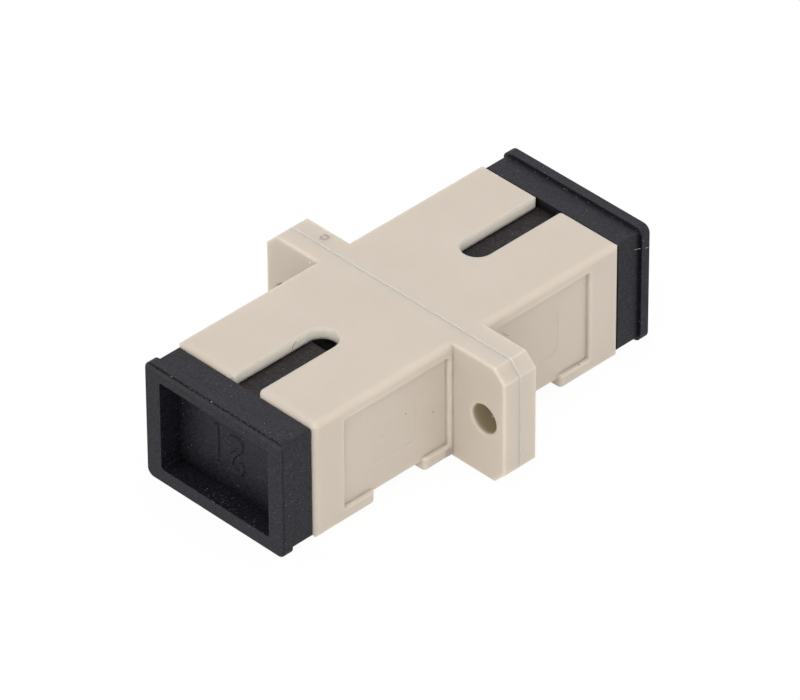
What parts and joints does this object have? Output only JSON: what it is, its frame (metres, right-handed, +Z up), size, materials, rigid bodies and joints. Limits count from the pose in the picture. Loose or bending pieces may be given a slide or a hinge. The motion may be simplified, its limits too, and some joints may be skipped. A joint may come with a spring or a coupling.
{
  "type": "fibre optic adapter",
  "caption": "Flanged feed-through adapter that joins two push-pull fibre plugs end to end in a panel, with a key slot and a push-in dust cap at each port.",
  "frame": {"origin": "on the optical axis, in the weld plane of the flange", "axes": "+Y along the optical axis from the front port to the rear port, +Z up towards the key slots, +X towards the right-hand ear seen from the front"},
  "size_m": [0.0224, 0.034, 0.0094],
  "materials": {
    "beige_pbt": "beige moulded PBT, fine matt grain",
    "natural_pbt": "off-white moulded PBT, matt",
    "phosphor_bronze": "rolled phosphor bronze, satin",
    "black_cap": "black soft moulded plastic, matt with fine specks"
  },
  "bodies": {
    "adapter": {"front_housing": "beige_pbt", "rear_housing": "beige_pbt", "front_latch_holder": "natural_pbt", "rear_latch_holder": "natural_pbt", "alignment_sleeve": "phosphor_bronze"},
    "front_cap": {"front_dust_cap": "black_cap"},
    "rear_cap": {"rear_dust_cap": "black_cap"}
  },
  "joints": [
    {"name": "front_cap_pull", "type": "slide", "parent": "adapter", "child": "front_cap", "axis": [0, -1, 0], "range_m": [0, 0.02]},
    {"name": "rear_cap_pull", "type": "slide", "parent": "adapter", "child": "rear_cap", "axis": [0, 1, 0], "range_m": [0, 0.02]}
  ]
}
